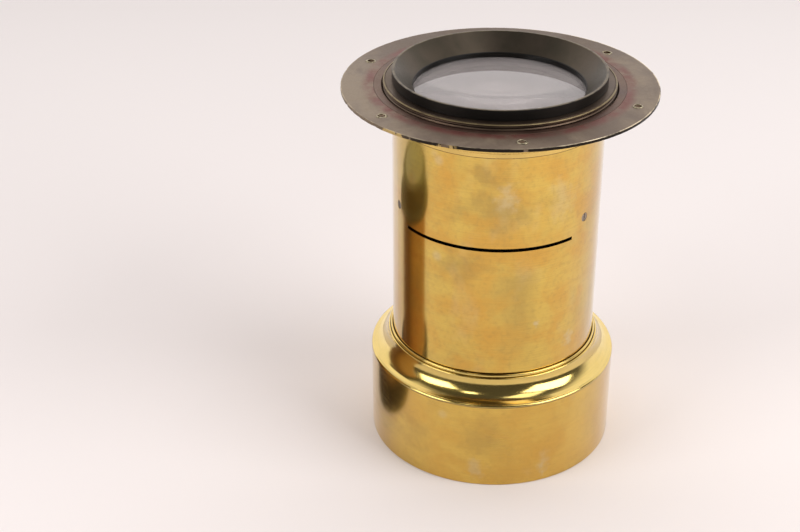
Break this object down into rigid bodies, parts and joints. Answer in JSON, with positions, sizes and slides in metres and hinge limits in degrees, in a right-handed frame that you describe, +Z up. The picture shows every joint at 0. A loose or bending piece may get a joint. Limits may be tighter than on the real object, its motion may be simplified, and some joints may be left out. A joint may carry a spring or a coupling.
{
  "type": "brass portrait lens",
  "caption": "Large brass portrait lens with a slotted barrel, a flared front hood, a round mounting flange and glasses in screw-in cells.",
  "frame": {"origin": "centre of the hood's rim plane, on which the lens stands", "axes": "+Z up the optical axis, from the front of the lens to its rear; the middle of the stop slot faces -Y, 9 degrees towards -X"},
  "size_m": [0.1652, 0.1652, 0.2167],
  "materials": {
    "lacquered_brass": "satin lacquered brass, aged and mottled",
    "polished_brass": "polished lacquered brass",
    "bronzed_brass": "dull bronzed brass, worn to bright metal at the edges",
    "black_lacquer": "black lacquer on brass, worn at the rim",
    "black_inside": "matt black anti-reflection paint",
    "plain_brass": "turned brass, unlacquered",
    "optical_glass": "polished optical glass",
    "blued_steel": "grey steel screws, ground flush"
  },
  "bodies": {
    "barrel": {"barrel_tube": "lacquered_brass", "rear_collar": "bronzed_brass", "stop_guide_upper": "black_inside", "stop_guide_lower": "black_inside", "stop_guide_screws": "blued_steel", "guide_rivets": "plain_brass"},
    "flange": {"flange_plate": "bronzed_brass", "flange_boss": "bronzed_brass"},
    "rear_group": {"rear_cell": "black_lacquer", "rear_crown": "optical_glass", "rear_spacer": "black_inside", "rear_flint": "optical_glass", "rear_retaining_ring": "black_inside"},
    "front_group": {"front_cell": "black_lacquer", "front_crown": "optical_glass", "front_flint": "optical_glass", "front_retaining_ring": "black_inside"},
    "hood": {"hood_collar": "polished_brass", "hood_shoulder": "polished_brass", "hood_tube": "lacquered_brass"}
  },
  "joints": [
    {"name": "flange_unscrew", "type": "slide", "parent": "barrel", "child": "flange", "axis": [0, 0, 1], "range_m": [0, 0.045]},
    {"name": "rear_group_unscrew", "type": "slide", "parent": "barrel", "child": "rear_group", "axis": [0, 0, 1], "range_m": [0, 0.07]},
    {"name": "front_group_unscrew", "type": "slide", "parent": "barrel", "child": "front_group", "axis": [0, 0, -1], "range_m": [0, 0.04]},
    {"name": "hood_unscrew", "type": "slide", "parent": "barrel", "child": "hood", "axis": [0, 0, -1], "range_m": [0, 0.08]}
  ]
}
